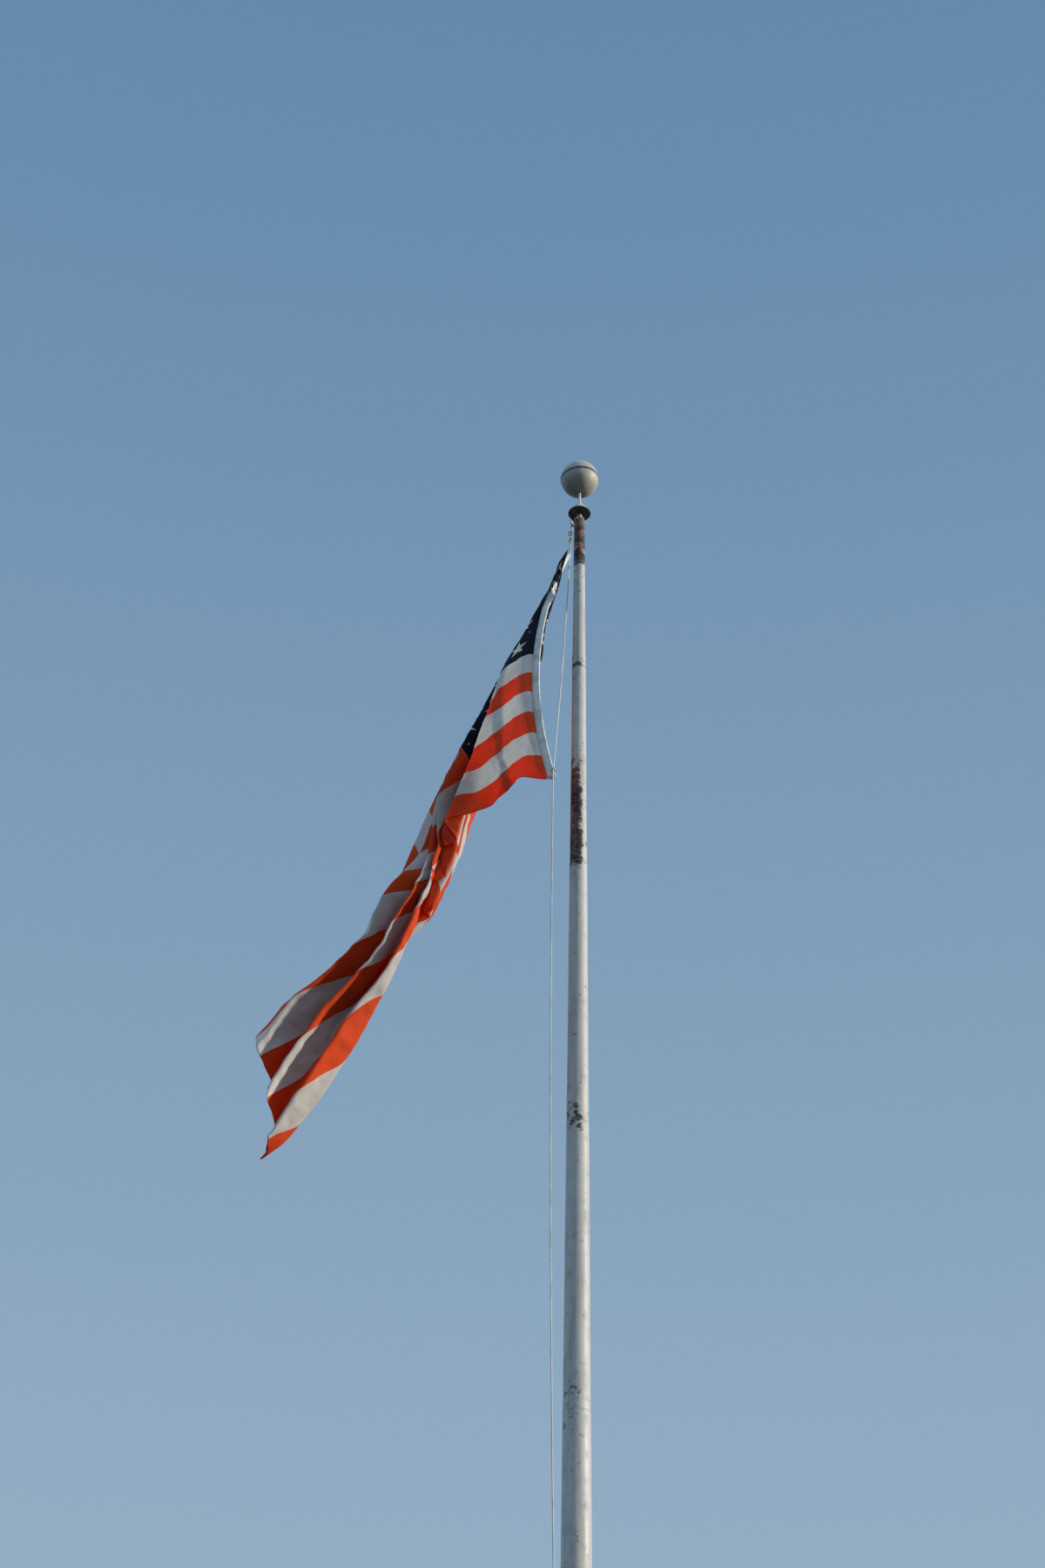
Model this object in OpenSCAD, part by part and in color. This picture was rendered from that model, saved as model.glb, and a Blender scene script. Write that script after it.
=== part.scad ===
// Flagpole: a cone-tapered steel pole on a bolted base, with a revolving
// truck, a two-part ball, a running halyard and a striped flag set from it.
// Sizes are in millimetres. The origin is the centre of the base flange's
// underside, +Z is up, and the flag streams towards -X and a little +Y.

/* [Pole] */
// Height of the pole's top above the ground
pole_h = 15240; // [12000:10:18000]
// Outside radius at the top of the pole
pole_top_r = 42; // [36:0.5:60]
// Growth of the radius for each metre downwards
pole_taper = 5.4; // [4:0.1:7]
// Thickness of the rolled steel
pole_wall = 4.8; // [3:0.1:8]
// Step in radius where a course is let into the one below
seam_step = 1.5; // [0.5:0.1:3]
// Height and reach of a weld bead
weld_h = 5; // [3:0.5:8]
// Height of the rolled band on the top course
band_h = 130; // [60:5:200]
// Thickness of that band
band_t = 2; // [1:0.5:4]

/* [Base] */
// Diameter of the base flange
flange_d = 510; // [460:5:640]
// Thickness of the base flange
flange_t = 32; // [20:1:50]
// Diameter of the anchor bolt circle
bolt_circle_d = 420; // [400:2:440]
// Radius of an anchor bolt hole
bolt_hole_r = 18; // [10:0.5:22]
// Number of anchor bolts
bolt_n = 4; // [3:1:8]
// Height of the socket above the flange
socket_h = 150; // [100:5:300]
// Wall of the socket at its top
socket_t = 12; // [8:1:20]
// Thickness of a gusset
gusset_t = 12; // [8:1:20]
// Reach of a gusset along the flange
gusset_reach = 70; // [40:2:90]

/* [Truck] */
// Radius of the truck's rain cap
cap_r = 90; // [80:1:130]
// Height of the cap's flat underside above the pole top
cap_gap = 70; // [60:1:110]
// Thickness of the cap at its rim
cap_rim_t = 9; // [5:1:16]
// Height of the cap from underside to crown
cap_h = 100; // [60:2:140]
// Radius of the cap's crown
crown_r = 24; // [18:1:32]
// Radius of the bearing hub under the cap
hub_r = 20; // [18:0.5:26]
// Radius of the fixed bearing spindle
spindle_r = 12.5; // [9:0.5:14]
// Running clearance on the spindle
spindle_clear = 0.08; // [0.02:0.01:0.1]
// Outside radius of the halyard sheave
sheave_r = 38; // [32:1:44]
// Width of the sheave
sheave_w = 15; // [13:1:20]
// Distance of the sheave's middle from the pole's axis
sheave_out = 70; // [66:1:76]
// Bearing of the sheave round the pole, counted from +X
sheave_az = 120; // [0:5:355]
// Thickness of a sheave cheek
cheek_t = 5; // [3:0.5:7]

/* [Ball] */
// Outside radius of the ball's lower half
ball_r = 152.4; // [100:0.2:200]
// Thickness of the spun shell
ball_wall = 2; // [1:0.5:4]
// Overlap of the upper half over the lower one
ball_lap = 14; // [8:1:25]
// Lean of the ball's seam
ball_lean = 4; // [0:0.5:8]
// Length of the ball's rod between crown and ball
rod_len = 128; // [60:2:200]
// Radius of the ball's rod
rod_r = 11.5; // [8:0.5:16]

/* [Halyard] */
// Radius of the rope
rope_r = 4.8; // [3:0.1:8]
// Height of the middle of the cleats
cleat_z = 1400; // [900:10:1900]
// Length of a cleat from horn to horn
cleat_len = 230; // [180:5:280]

/* [Flag] */
// Height of the flag along its heading, flat
hoist = 3048; // [2400:8:3600]
// Length of the flag from heading to fly edge, flat
fly = 4572; // [3600:12:5400]
// Share of the fly that the canton takes
canton_share = 0.4; // [0.36:0.04:0.44]
// Thickness of the cloth as a solid
cloth_t = 8; // [4:1:12]
// Width of the canvas heading
heading_w = 60; // [40:2:90]
// Thickness of the roped heading
heading_t = 16; // [12:1:24]
// Width of the folded bundle as a share of the flag's diagonal
bundle_w = 0.075; // [0.055:0.005:0.09]

/* [Hidden] */
round_fn = 96;
small_fn = 48;

// Steel courses: heights of the seams as shares of the pole's height.
seam_share = [0.125, 0.253, 0.381, 0.508, 0.641, 0.78, 0.899];
section_n = len(seam_share) + 1;
function seam_z(i) = i < 0 ? flange_t : i >= section_n - 1 ? pole_h : seam_share[i] * pole_h;
// Radius of course i (0 at the bottom) at height z.
function pole_r(i, z) = pole_top_r + pole_taper * (pole_h - z) / 1000
    + (section_n - 1 - i) * seam_step;
function course_at(z, i = 0) = i >= section_n - 1 || z < seam_z(i) ? i : course_at(z, i + 1);
function skin_r(z) = pole_r(course_at(z), z);

socket_r = pole_r(0, flange_t) + socket_t;
plug_t = 12;
spigot_h = 40;
spigot_clear = 0.3;
washer_gap = 0.4;
cap_z = pole_h + cap_gap;
crown_z = cap_z + cap_h;
spindle_top = crown_z - 25;
ball_z = crown_z + rod_len + ball_r;

// Sheave, its rope circle and its frame.
sheave_z = cap_z - sheave_r - 8;
rope_gap = 0.3;
groove_r = rope_r + rope_gap;
rope_circle_r = sheave_r - groove_r - 1;
pin_r = 6;
pin_clear = 0.05;
cheek_gap = 1;

// Cleats: one on the near side for the flag's fall, one opposite.
front_az = 270;
rear_az = 90;
foot_l = cleat_len * 0.55;
bar_out = 46;
bar_r = 10;
screw_r = 4;

// Snap hooks and thimbles.
snap_wire = 4;
snap_eye_r = 15;
snap_hook_r = 12;
thimble_r = 12;
thimble_wire = 4;
thimble_gap = 0.4;

// Corners of the hanging flag, as shares of its flat diagonal.
diag = norm([hoist, fly]);
top_corner = [-74, 141, pole_h - 150];
heading_mid = top_corner + diag * [-0.05, -0.045, -0.242];
hem_corner = top_corner + diag * [-0.028, -0.091, -0.494];
tip = top_corner + diag * [-0.362, 0.166, -0.916];
hang = tip - top_corner;
across = unit([1, 0, 0] - hang[0] * hang / (hang * hang));
front = unit(cross(hang, across));
// Left and right edges of the bundle down the flag: share of the diagonal
// from the top corner, and place across as a share of the bundle's width.
left_edge = [[0, -0.2], [0.3, -0.2], [0.56, -0.37], [0.64, -0.53], [0.76, -1.13], [0.87, -1.33], [1, -0.4]];
right_edge = [[0, 0.13], [0.2, 0.32], [0.45, 0.48], [0.6, 0.61], [0.8, 0.35], [1, 0]];
tail_from = 0.6;
tail_swing = 0.05;
// Folds from the hem side to the fly side: place across the flat flag, place
// between the two edges, and place towards the front.
fold_knots = [
    [-0.46, 1.8, 0.05], [-0.26, -0.5, 0.03], [-0.165, 0.5, 0.016],
    [-0.075, -0.5, 0.004], [0.02, 0.5, -0.006], [0.11, -0.5, -0.014],
    [0.2, 0.5, -0.022], [0.29, -0.5, -0.031], [0.46, 0.5, -0.045]
];
// How far the turn of each fold is rounded, as a share of the diagonal.
fold_round = 0.0022;
// Share of the fly over which the cloth turns from the heading to its folds.
lead_share = 0.2;
stripe_n = 13;
canton_stripes = 7;
col_n = 55;
rows_per_stripe = 2;
row_n = stripe_n * rows_per_stripe;
canton_cols = round(col_n * canton_share);
step_uv = 0.004;

// Halyard route. The falls meet the tails with a small gap.
fall_end_z = 2250;
fall_out = skin_r(fall_end_z) + 77;
tail_gap = 6;
sheave_c = [sheave_out * cos(sheave_az), sheave_out * sin(sheave_az), sheave_z];
sheave_t = [-sin(sheave_az), cos(sheave_az), 0];
flag_side = sheave_c + rope_circle_r * sheave_t;
return_side = sheave_c - rope_circle_r * sheave_t;
top_snap_p = thimble_c(0) + [-7, -61, 38];
bottom_snap_p = thimble_c(1) + [1, -67, 34];
fall_end = [0, -fall_out, fall_end_z];
return_end = [0, fall_out, fall_end_z];

module ring(r_out, r_in, h) {
    rotate_extrude($fn = round_fn)
        polygon([[r_in, 0], [r_out, 0], [r_out, h], [r_in, h]]);
}

// Torus with its axis along Z.
module torus(r_ring, r_wire, turn = 360) {
    rotate_extrude(angle = turn, $fn = small_fn)
        translate([r_ring, 0])
            circle(r = r_wire, $fn = small_fn);
}

module base_flange() {
    color("gainsboro")
        difference() {
            cylinder(h = flange_t, d = flange_d, $fn = round_fn);
            for (k = [0:bolt_n - 1])
                rotate([0, 0, 360 * (k + 0.5) / bolt_n])
                    translate([bolt_circle_d / 2, 0, -1])
                        cylinder(h = flange_t + 2, r = bolt_hole_r, $fn = small_fn);
        }
}

// The socket's bore follows the taper of the lowest course.
module base_socket() {
    top = flange_t + socket_h;
    color("gainsboro")
        rotate_extrude($fn = round_fn)
            polygon([[pole_r(0, flange_t), flange_t], [socket_r, flange_t],
                     [socket_r, top - socket_t / 2], [socket_r - socket_t / 2, top],
                     [pole_r(0, top), top]]);
}

module base_gussets() {
    top = socket_h * 0.86;
    toe = 12;
    color("gainsboro")
        translate([0, 0, flange_t])
            difference() {
                for (k = [0:2 * bolt_n - 1])
                    if (k % 2 == 0)
                        rotate([0, 0, 360 * k / (2 * bolt_n)])
                            translate([0, gusset_t / 2, 0])
                                rotate([90, 0, 0])
                                    linear_extrude(gusset_t)
                                        polygon([[socket_r - 5, 0], [socket_r + gusset_reach, 0],
                                                 [socket_r + gusset_reach, toe],
                                                 [socket_r + toe, top], [socket_r - 5, top]]);
                translate([0, 0, -1])
                    cylinder(h = socket_h + 2, r = socket_r, $fn = round_fn);
            }
}

// One rolled and welded course, hollow from end to end.
module pole_section(i) {
    low = seam_z(i - 1);
    high = seam_z(i);
    color("silver")
        rotate_extrude($fn = round_fn)
            polygon([[pole_r(i, low) - pole_wall, low], [pole_r(i, low), low],
                     [pole_r(i, high), high], [pole_r(i, high) - pole_wall, high]]);
}

// Weld beads seated on the step at the top of each course.
module seam_welds() {
    color("dimgray")
        for (i = [0:section_n - 2]) {
            z = seam_z(i);
            r = pole_r(i + 1, z);
            rotate_extrude($fn = round_fn)
                polygon([[r, z], [r + seam_step, z], [r + seam_step + weld_h / 4, z + weld_h / 4],
                         [r + seam_step + weld_h / 5, z + weld_h * 0.6],
                         [pole_r(i + 1, z + weld_h), z + weld_h]]);
        }
}

module pole_band() {
    last = section_n - 1;
    low = seam_z(last - 1) + weld_h + 2;
    high = low + band_h;
    color("silver")
        rotate_extrude($fn = round_fn)
            polygon([[pole_r(last, low), low], [pole_r(last, low) + band_t, low],
                     [pole_r(last, high) + band_t, high], [pole_r(last, high), high]]);
}

// Turned plug that closes the tube and carries the bearing spindle.
module pole_top_plug() {
    last = section_n - 1;
    spigot_r = pole_top_r - pole_wall - spigot_clear;
    color("darkgray")
        rotate_extrude($fn = round_fn)
            polygon([[0, pole_h - spigot_h], [spigot_r, pole_h - spigot_h], [spigot_r, pole_h],
                     [pole_r(last, pole_h), pole_h], [pole_r(last, pole_h) - 3, pole_h + plug_t],
                     [spindle_r, pole_h + plug_t], [spindle_r, spindle_top], [0, spindle_top]]);
}

// Cast cleat: a flat foot, two posts and a bar with rounded horns.
module cleat(az) {
    foot_w = 34;
    foot_t = 14;
    post_r = 11;
    r = skin_r(cleat_z);
    color("darkgray")
        rotate([0, 0, az])
            difference() {
                union() {
                    translate([r - 8, -foot_w / 2, cleat_z - foot_l / 2])
                        cube([foot_t + 8, foot_w, foot_l]);
                    for (s = [-1, 1])
                        translate([r, 0, cleat_z + s * foot_l * 0.24])
                            rotate([0, 90, 0])
                                cylinder(h = bar_out, r = post_r, $fn = small_fn);
                    translate([r + bar_out, 0, cleat_z - cleat_len / 2])
                        cylinder(h = cleat_len, r = bar_r, $fn = small_fn);
                    for (s = [-1, 1])
                        translate([r + bar_out, 0, cleat_z + s * cleat_len / 2])
                            sphere(r = bar_r, $fn = small_fn);
                }
                pole_core(cleat_z - cleat_len, cleat_z + cleat_len);
                for (s = [-1, 1])
                    translate([r - 10, 0, cleat_z + s * foot_l * 0.42])
                        rotate([0, 90, 0])
                            cylinder(h = foot_t + 20, r = screw_r + 0.2, $fn = small_fn);
            }
}

// Solid of the pole's outside between two heights of one course.
module pole_core(low, high) {
    i = course_at((low + high) / 2);
    rotate_extrude($fn = round_fn)
        polygon([[0, low], [pole_r(i, low), low], [pole_r(i, high), high], [0, high]]);
}

module front_cleat() {
    cleat(front_az);
}

module rear_cleat() {
    cleat(rear_az);
}

// Pan-head screws that hold the cleats; their shanks stop at the pole's skin.
module cleat_screws() {
    r = skin_r(cleat_z);
    color("gray")
        for (az = [front_az, rear_az], s = [-1, 1])
            rotate([0, 0, az])
                translate([r + 2, 0, cleat_z + s * foot_l * 0.42])
                    rotate([0, 90, 0]) {
                        cylinder(h = 12, r = screw_r, $fn = small_fn);
                        translate([0, 0, 12])
                            cylinder(h = 4, r = screw_r * 2, $fn = small_fn);
                    }
}

// Unit vectors for sweeps.
function unit(v) = v / norm(v);
function side_of(d) = unit(cross(abs(d[2]) > 0.9 ? [1, 0, 0] : [0, 0, 1], d));
function path_dir(p, i) =
    unit((i < len(p) - 1 ? p[i + 1] : p[i]) - (i > 0 ? p[i - 1] : p[i]));
rope_sides = 8;

// A rope swept along its route's points, with a ring at every point.
module rope(route) {
    n = len(route);
    points = [for (i = [0:n - 1])
        let (d = path_dir(route, i), a = side_of(d), b = cross(d, a))
        for (k = [0:rope_sides - 1])
            let (t = 360 * k / rope_sides)
            route[i] + rope_r * (cos(t) * a + sin(t) * b)];
    skin = [for (i = [0:n - 2], k = [0:rope_sides - 1])
        let (j = (k + 1) % rope_sides, a = i * rope_sides, b = a + rope_sides)
        each [[a + k, b + j, a + j], [a + k, b + k, b + j]]];
    ends = [[for (k = [0:rope_sides - 1]) k],
            [for (k = [rope_sides - 1:-1:0]) (n - 1) * rope_sides + k]];
    polyhedron(points = points, faces = concat(skin, ends), convexity = 4);
}

// Points from a to b, pulled off the straight line by bow at the middle.
function span(a, b, n, bow = [0, 0, 0]) =
    [for (i = [0:n]) let (t = i / n) a + t * (b - a) + 4 * t * (1 - t) * bow];

// The fall that carries the flag leaves the sheave straight down, runs
// through both snaps and on to the front cleat.
function flag_fall() = concat(
    [flag_side],
    span(flag_side - [0, 0, sheave_r + 8], top_snap_p, 2),
    [for (p = span(top_snap_p, bottom_snap_p, 8, [10, 5, 0])) if (p != top_snap_p) p],
    [for (p = span(bottom_snap_p, fall_end, 14, [-58, -30, 0])) if (p != bottom_snap_p) p]);

// The return fall goes over the sheave and down the far side.
function return_fall() = concat(
    [for (t = [0:15:180])
        sheave_c + rope_circle_r * (cos(t) * sheave_t + [0, 0, sin(t)])],
    [for (p = span(return_side, return_end, 12)) if (p != return_side) p]);

module halyard_flag_fall() {
    color("ivory")
        rope(flag_fall());
}

module halyard_return_fall() {
    color("ivory")
        rope(return_fall());
}

// Each tail comes down to its cleat and lies along the outside of the bar.
module halyard_tails() {
    out = skin_r(cleat_z) + bar_out + bar_r + rope_r + 1;
    color("ivory")
        for (e = [[fall_end, -out], [return_end, out]])
            rope(concat(span(e[0] - [0, 0, tail_gap], [0, e[1], cleat_z + cleat_len * 0.3], 6),
                        [[0, e[1], cleat_z - cleat_len * 0.3]]));
}

// Bearing sleeve that turns on the spindle.
module truck_hub() {
    color("silver")
        translate([0, 0, pole_h + plug_t + washer_gap])
            ring(hub_r, spindle_r + spindle_clear, cap_gap - plug_t - washer_gap);
}

// Mushroom cap: flat below, bell-shaped above, bored for the spindle.
module truck_cap() {
    bell = [for (t = [0:10:90])
        [crown_r + (cap_r - crown_r) * (1 - sin(t)),
         cap_rim_t + (cap_h - cap_rim_t) * (1 - cos(t))]];
    bore_top = spindle_top - cap_z + 2;
    color("darkslategray")
        translate([0, 0, cap_z])
            rotate_extrude($fn = round_fn)
                polygon(concat(
                    [[spindle_r + spindle_clear, 0], [cap_r - 3, 0], [cap_r, 3]],
                    bell,
                    [[0, cap_h], [0, bore_top], [spindle_r + spindle_clear, bore_top]]));
}

// Places its children at the sheave, with +Z along the sheave's axle.
module at_sheave() {
    translate(sheave_c)
        rotate([0, 0, sheave_az])
            rotate([0, 90, 0])
                children();
}

// Two cheeks that hang from the cap on either side of the sheave.
module sheave_cheeks() {
    gap = sheave_w / 2 + cheek_gap;
    up = cap_z - sheave_z;
    half = 13;
    color("darkgray")
        at_sheave()
            for (s = [-1, 1])
                translate([0, 0, s > 0 ? gap : -gap - cheek_t])
                    difference() {
                        union() {
                            cylinder(h = cheek_t, r = half, $fn = small_fn);
                            translate([-up, -half, 0])
                                cube([up, 2 * half, cheek_t]);
                        }
                        translate([0, 0, -1])
                            cylinder(h = cheek_t + 2, r = pin_r + pin_clear, $fn = small_fn);
                    }
}

module sheave() {
    rim = sheave_w / 2;
    color("lightgray")
        at_sheave()
            difference() {
                translate([0, 0, -rim])
                    cylinder(h = sheave_w, r = sheave_r, $fn = round_fn);
                rotate_extrude($fn = round_fn)
                    translate([rope_circle_r, 0])
                        circle(r = groove_r, $fn = small_fn);
                rotate_extrude($fn = round_fn)
                    translate([rope_circle_r, -groove_r])
                        square([sheave_r, 2 * groove_r]);
                translate([0, 0, -rim - 1])
                    cylinder(h = sheave_w + 2, r = pin_r + pin_clear, $fn = small_fn);
            }
}

module sheave_pin() {
    half = sheave_w / 2 + cheek_gap + cheek_t;
    head = 3;
    color("gray")
        at_sheave() {
            translate([0, 0, -half - head])
                cylinder(h = 2 * half + 2 * head, r = pin_r, $fn = small_fn);
            for (s = [-half - head, half])
                translate([0, 0, s])
                    cylinder(h = head, r = pin_r * 1.5, $fn = small_fn);
        }
}

// Rod between crown and ball, cut to the ball's round.
module ball_rod() {
    color("silver")
        difference() {
            translate([0, 0, crown_z])
                cylinder(h = rod_len + 20, r = rod_r, $fn = small_fn);
            translate([0, 0, ball_z])
                sphere(r = ball_r, $fn = round_fn);
        }
}

module ball_lock_nut() {
    nut_h = 16;
    color("gray")
        translate([0, 0, crown_z])
            difference() {
                cylinder(h = nut_h, r = crown_r * 0.9, $fn = 6);
                translate([0, 0, -1])
                    cylinder(h = nut_h + 2, r = rod_r, $fn = small_fn);
            }
}

module at_ball() {
    translate([0, 0, ball_z])
        rotate([0, -ball_lean, 0])
            children();
}

// Quarter arc of radius r from the equator, as profile points.
function arc_points(r, from, to, n) =
    [for (i = [0:n]) let (t = from + (to - from) * i / n) [r * cos(t), r * sin(t)]];

module ball_lower_half() {
    color("whitesmoke")
        at_ball()
            difference() {
                sphere(r = ball_r, $fn = round_fn);
                sphere(r = ball_r - ball_wall, $fn = round_fn);
                translate([0, 0, ball_r])
                    cube(2 * ball_r + 2, center = true);
            }
}

// The upper half's rim laps over the lower half.
module ball_upper_half() {
    color("whitesmoke")
        at_ball()
            difference() {
                sphere(r = ball_r + ball_wall, $fn = round_fn);
                sphere(r = ball_r, $fn = round_fn);
                translate([0, 0, -ball_r - ball_wall - ball_lap])
                    cube(2 * (ball_r + ball_wall), center = true);
            }
}

// Places its children at point a with +X towards point b.
module aim(a, b) {
    d = b - a;
    translate(a)
        rotate([0, atan2(-d[2], norm([d[0], d[1]])), atan2(d[1], d[0])])
            children();
}

// Snap: an eye round the rope, a neck and a hook ring through the thimble.
module snap(at, to) {
    reach = norm(to - at);
    neck = reach - snap_eye_r - 2 * snap_hook_r;
    color("goldenrod")
        aim(at, to) {
            torus(snap_eye_r, snap_wire);
            translate([snap_eye_r, 0, 0])
                rotate([0, 90, 0])
                    cylinder(h = neck, r = snap_wire * 1.4, $fn = small_fn);
            translate([reach - snap_hook_r, 0, 0])
                torus(snap_hook_r, snap_wire);
        }
}

module top_snap() {
    snap(top_snap_p, thimble_c(0));
}

module bottom_snap() {
    snap(bottom_snap_p, thimble_c(1));
}

// Middle of the thimble beyond the heading's end at v, 0 for top and 1 for hem.
function thimble_c(v) =
    heading_point(v) + heading_out(v) * heading_w / 2
    + (2 * v - 1) * heading_down(v) * (thimble_r + thimble_wire + thimble_gap);

module heading_thimbles() {
    color("silver")
        for (e = [[top_snap_p, 0], [bottom_snap_p, 1]])
            aim(thimble_c(e[1]), 2 * thimble_c(e[1]) - e[0])
                rotate([90, 0, 0])
                    torus(thimble_r, thimble_wire);
}

// Smooth curve between two knots.
function hermite(a, b, ta, tb, t) =
    a * (2 * t * t * t - 3 * t * t + 1) + ta * (t * t * t - 2 * t * t + t)
    + b * (3 * t * t - 2 * t * t * t) + tb * (t * t * t - t * t);
function tangent(p, i) = (p[min(i + 1, len(p) - 1)] - p[max(i - 1, 0)]) / 2;
function knot_before(q, i = 0) =
    i >= len(fold_knots) - 2 || q < fold_knots[i + 1][0] ? i : knot_before(q, i + 1);
function section(q) =
    let (i = knot_before(q), a = fold_knots[i], b = fold_knots[i + 1],
         w = (q - a[0]) / (b[0] - a[0]))
    hermite(a, b, tangent(fold_knots, i), tangent(fold_knots, i + 1), w)
    - [0, 0, fold_round * sin(360 * w)];

// The heading's line, the cloth's way out of it and its place on the bundle.
function heading_point(v) =
    top_corner * (2 * v - 1) * (v - 1) + heading_mid * 4 * v * (1 - v)
    + hem_corner * v * (2 * v - 1);
function lead_dir(v) = unit((1 - v) * unit(hang) + 1.5 * v * [-1, 0.3, -0.2]);
function ease(w) = w * w * (3 - 2 * w);
function flag_point(u, v) =
    let (x = u * fly, y = v * hoist,
         down = (x * fly + y * hoist) / diag,
         s = section((x * hoist - y * fly) / (diag * diag)),
         way = down / diag,
         l = lookup(way, left_edge), r = lookup(way, right_edge),
         free = top_corner + way * hang
             + diag * (bundle_w * ((l + r) / 2 + (r - l) * s[1]) * across
                       + (s[2] + tail_swing * max(0, way - tail_from)) * front),
         led = heading_point(v) + x * lead_dir(v))
    led + ease(min(1, u / lead_share)) * (free - led);
function flag_normal(u, v) =
    unit(cross(flag_point(u + step_uv, v) - flag_point(u - step_uv, v),
               flag_point(u, v + step_uv) - flag_point(u, v - step_uv)));
function heading_down(v) =
    unit(heading_point(v + step_uv) - heading_point(v - step_uv));
function heading_out(v) =
    let (d = heading_down(v), away = -lead_dir(v))
    unit(away - (away * d) * d);

// Closed patch of cloth between grid columns and rows, shared edges equal.
module patch(c0, c1, r0, r1, thick) {
    nc = c1 - c0;
    nr = r1 - r0;
    grid = [for (j = [0:nr], i = [0:nc]) [(c0 + i) / col_n, (r0 + j) / row_n]];
    upper = [for (g = grid) flag_point(g[0], g[1]) + flag_normal(g[0], g[1]) * thick / 2];
    lower = [for (g = grid) flag_point(g[0], g[1]) - flag_normal(g[0], g[1]) * thick / 2];
    m = len(grid);
    function id(i, j) = j * (nc + 1) + i;
    top = [for (j = [0:nr - 1], i = [0:nc - 1])
        each [[id(i, j), id(i + 1, j), id(i + 1, j + 1)],
              [id(i, j), id(i + 1, j + 1), id(i, j + 1)]]];
    bottom = [for (f = top) [f[2] + m, f[1] + m, f[0] + m]];
    ends = [for (i = [0:nc - 1])
        each concat(wall(id(i, 0), id(i + 1, 0), m, false),
                    wall(id(i, nr), id(i + 1, nr), m, true))];
    sides = [for (j = [0:nr - 1])
        each concat(wall(id(0, j), id(0, j + 1), m, true),
                    wall(id(nc, j), id(nc, j + 1), m, false))];
    polyhedron(points = concat(upper, lower), faces = concat(ends, sides, top, bottom),
               convexity = 6);
}

// Two triangles of a side wall between grid points a and b.
function wall(a, b, m, flip) =
    flip ? [[a, b, b + m], [a, b + m, a + m]] : [[b + m, b, a], [a + m, b + m, a]];

module flag_canton() {
    color("midnightblue")
        patch(0, canton_cols, 0, canton_stripes * rows_per_stripe, cloth_t);
}

// Stripe k counts from the top; those beside the canton start at its edge.
module stripe(k) {
    patch(k < canton_stripes ? canton_cols : 0, col_n,
          k * rows_per_stripe, (k + 1) * rows_per_stripe, cloth_t);
}

module flag_red_stripes() {
    color("firebrick")
        for (k = [0:2:stripe_n - 1])
            stripe(k);
}

module flag_white_stripes() {
    color("ivory")
        for (k = [1:2:stripe_n - 1])
            stripe(k);
}

// Canvas heading with the rope sewn in, along the hoist edge.
module flag_heading() {
    points = [for (j = [0:row_n])
        let (v = j / row_n, p = heading_point(v), n = flag_normal(0, v) * cloth_t / 2,
             o = heading_out(v), rim = cross(heading_down(v), o) * heading_t / 2)
        each [p + n, p - n, p + o * heading_w - rim, p + o * heading_w + rim]];
    skin = [for (j = [0:row_n - 1], k = [0:3])
        let (a = 4 * j + k, b = 4 * j + (k + 1) % 4)
        each [[a, b + 4, b], [a, a + 4, b + 4]]];
    caps = [[0, 1, 2, 3], [4 * row_n + 3, 4 * row_n + 2, 4 * row_n + 1, 4 * row_n]];
    color("lightsteelblue")
        polyhedron(points = points, faces = concat(skin, caps), convexity = 4);
}

base_flange();
base_socket();
base_gussets();
pole_section(0);  // pole_section_1
pole_section(1);  // pole_section_2
pole_section(2);  // pole_section_3
pole_section(3);  // pole_section_4
pole_section(4);  // pole_section_5
pole_section(5);  // pole_section_6
pole_section(6);  // pole_section_7
pole_section(7);  // pole_section_8
seam_welds();
pole_band();
pole_top_plug();
front_cleat();
rear_cleat();
cleat_screws();
halyard_tails();
truck_hub();
truck_cap();
sheave_cheeks();
sheave();
sheave_pin();
ball_rod();
ball_lock_nut();
ball_lower_half();
ball_upper_half();
halyard_flag_fall();
halyard_return_fall();
top_snap();
bottom_snap();
heading_thimbles();
flag_heading();
flag_canton();
flag_red_stripes();
flag_white_stripes();
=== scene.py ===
"""A tall flagpole with a truck, a ball and a striped flag that hangs in its folds."""
import bpy
import bmesh
import math
from functools import partial
from mathutils import Matrix, Vector


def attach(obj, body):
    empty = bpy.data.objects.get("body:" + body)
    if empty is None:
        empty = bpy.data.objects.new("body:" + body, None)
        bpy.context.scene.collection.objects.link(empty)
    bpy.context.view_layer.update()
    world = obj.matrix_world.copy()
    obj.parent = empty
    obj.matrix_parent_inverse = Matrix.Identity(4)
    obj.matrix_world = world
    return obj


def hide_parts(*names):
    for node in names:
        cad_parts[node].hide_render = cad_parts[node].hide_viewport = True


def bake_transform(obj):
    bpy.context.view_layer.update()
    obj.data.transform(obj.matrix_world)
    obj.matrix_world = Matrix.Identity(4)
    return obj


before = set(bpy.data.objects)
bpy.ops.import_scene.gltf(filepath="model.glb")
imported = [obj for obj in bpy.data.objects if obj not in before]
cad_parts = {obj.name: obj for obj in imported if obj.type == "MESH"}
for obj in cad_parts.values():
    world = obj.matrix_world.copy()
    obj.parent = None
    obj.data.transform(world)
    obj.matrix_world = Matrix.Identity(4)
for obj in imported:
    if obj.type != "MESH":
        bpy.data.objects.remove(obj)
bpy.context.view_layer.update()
scene = bpy.context.scene


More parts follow.
